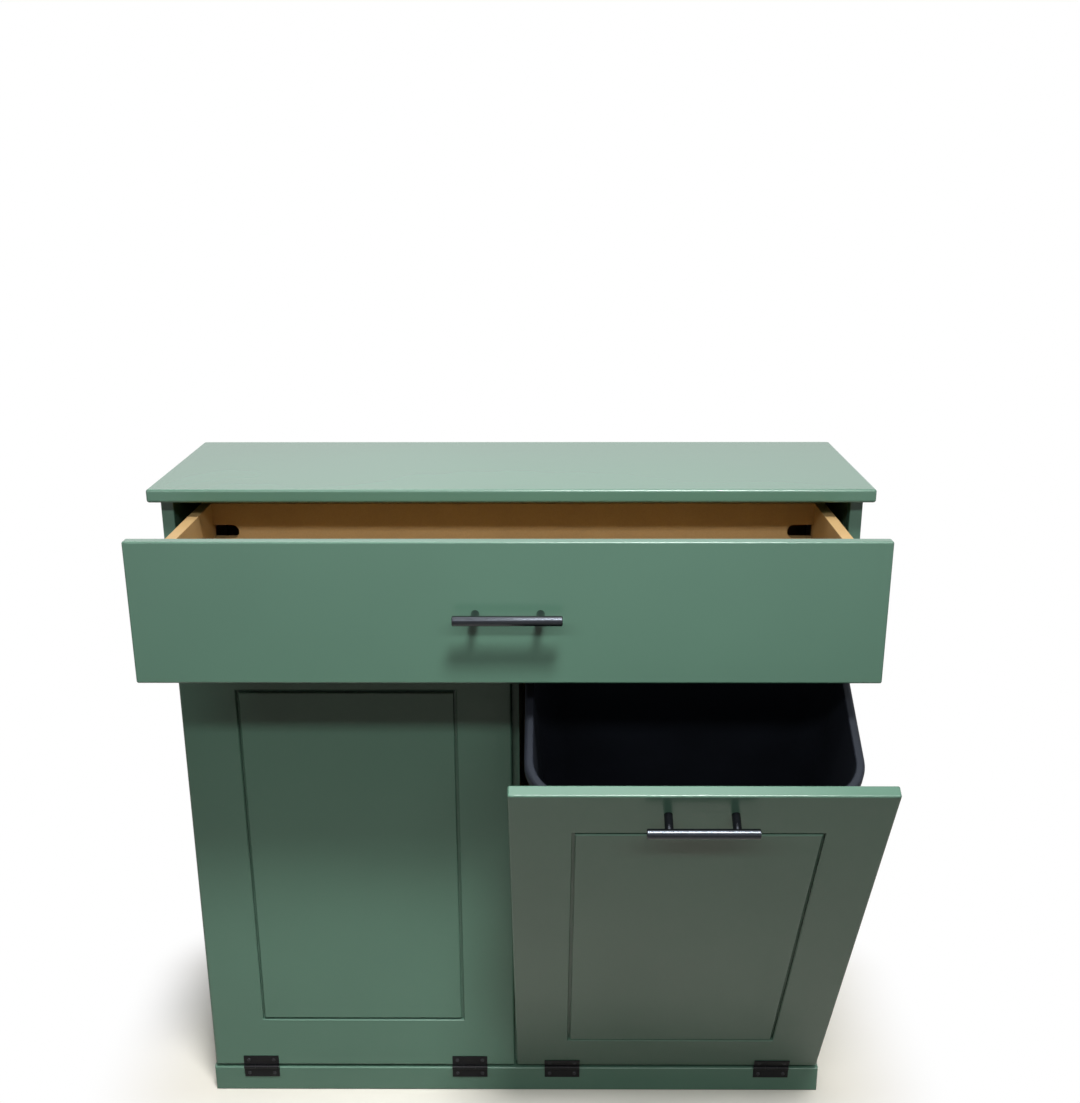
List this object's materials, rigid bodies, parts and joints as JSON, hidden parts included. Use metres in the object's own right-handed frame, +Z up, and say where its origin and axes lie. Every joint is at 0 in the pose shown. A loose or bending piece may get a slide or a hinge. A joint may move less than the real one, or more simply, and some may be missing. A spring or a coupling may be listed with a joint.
{
  "type": "trash bin cabinet",
  "caption": "Lacquered kitchen cabinet with a wide drawer over tilt-out doors, each carrying a waste can on a tray behind it.",
  "frame": {"origin": "on the floor under the middle of the carcass", "axes": "+X to the right seen from the front, +Y to the back, +Z up"},
  "size_m": [0.9108, 0.6362, 0.902],
  "materials": {
    "green_lacquer": "satin green lacquer on fibreboard",
    "bare_board": "unfinished fibreboard",
    "back_board": "hardboard",
    "black_polypropylene": "moulded, fine texture",
    "black_metal": "matt black powder coat",
    "dark_screw_steel": "black oxide",
    "zinc_steel": "zinc plated",
    "bumper_rubber": "soft, clear"
  },
  "bodies": {
    "cabinet": {"back_panel": "back_board", "back_rail": "bare_board", "base_rail": "green_lacquer", "centre_divider": "green_lacquer", "drawer_rail": "bare_board", "hinge_pins": "dark_screw_steel", "left_bin_lower_leaves": "black_metal", "left_bin_stop_cleats": "bare_board", "left_floor_panel": "bare_board", "left_side_panel": "green_lacquer", "left_slide_cabinet_member": "zinc_steel", "left_slide_packer": "bare_board", "lower_leaf_screws": "dark_screw_steel", "right_bin_lower_leaves": "black_metal", "right_bin_stop_cleats": "bare_board", "right_floor_panel": "bare_board", "right_side_panel": "green_lacquer", "right_slide_cabinet_member": "zinc_steel", "right_slide_packer": "bare_board", "top_panel": "green_lacquer"},
    "slide_middles": {"left_slide_middle_member": "zinc_steel", "right_slide_middle_member": "zinc_steel"},
    "drawer": {"drawer_back": "bare_board", "drawer_bottom": "bare_board", "drawer_bumpers": "bumper_rubber", "drawer_front": "green_lacquer", "drawer_inner_front": "bare_board", "drawer_left_side": "bare_board", "drawer_pull_bar": "black_metal", "drawer_pull_posts": "black_metal", "drawer_pull_screws": "dark_screw_steel", "drawer_right_side": "bare_board", "left_slide_drawer_member": "zinc_steel", "right_slide_drawer_member": "zinc_steel"},
    "left_bin": {"left_bin_can": "black_polypropylene", "left_bin_door": "green_lacquer", "left_bin_door_bumpers": "bumper_rubber", "left_bin_left_cheek": "bare_board", "left_bin_pull_bar": "black_metal", "left_bin_pull_posts": "black_metal", "left_bin_pull_screws": "dark_screw_steel", "left_bin_right_cheek": "bare_board", "left_bin_tray_board": "bare_board", "left_bin_tray_rear_rail": "bare_board", "left_bin_upper_leaf_screws": "dark_screw_steel", "left_bin_upper_leaves": "black_metal"},
    "right_bin": {"right_bin_can": "black_polypropylene", "right_bin_door": "green_lacquer", "right_bin_door_bumpers": "bumper_rubber", "right_bin_left_cheek": "bare_board", "right_bin_pull_bar": "black_metal", "right_bin_pull_posts": "black_metal", "right_bin_pull_screws": "dark_screw_steel", "right_bin_right_cheek": "bare_board", "right_bin_tray_board": "bare_board", "right_bin_tray_rear_rail": "bare_board", "right_bin_upper_leaf_screws": "dark_screw_steel", "right_bin_upper_leaves": "black_metal"}
  },
  "joints": [
    {"name": "drawer_slide", "type": "slide", "parent": "cabinet", "child": "drawer", "axis": [0, -1, 0], "range_m": [-0.1706, 0.046]},
    {"name": "slide_middles_slide", "type": "slide", "parent": "cabinet", "child": "slide_middles", "axis": [0, -1, 0], "range_m": [-0.0853, 0.023]},
    {"name": "left_bin_tilt", "type": "hinge", "parent": "cabinet", "child": "left_bin", "pos_m": [-0.22045, -0.16625, 0.04165], "axis": [1, 0, 0], "range_deg": [0, 28.3]},
    {"name": "right_bin_tilt", "type": "hinge", "parent": "cabinet", "child": "right_bin", "pos_m": [0.22045, -0.16625, 0.04165], "axis": [1, 0, 0], "range_deg": [-28.3, 0]}
  ],
  "couplings": [
    {"joint": "slide_middles_slide", "follows": "drawer_slide", "ratio": 0.5}
  ]
}
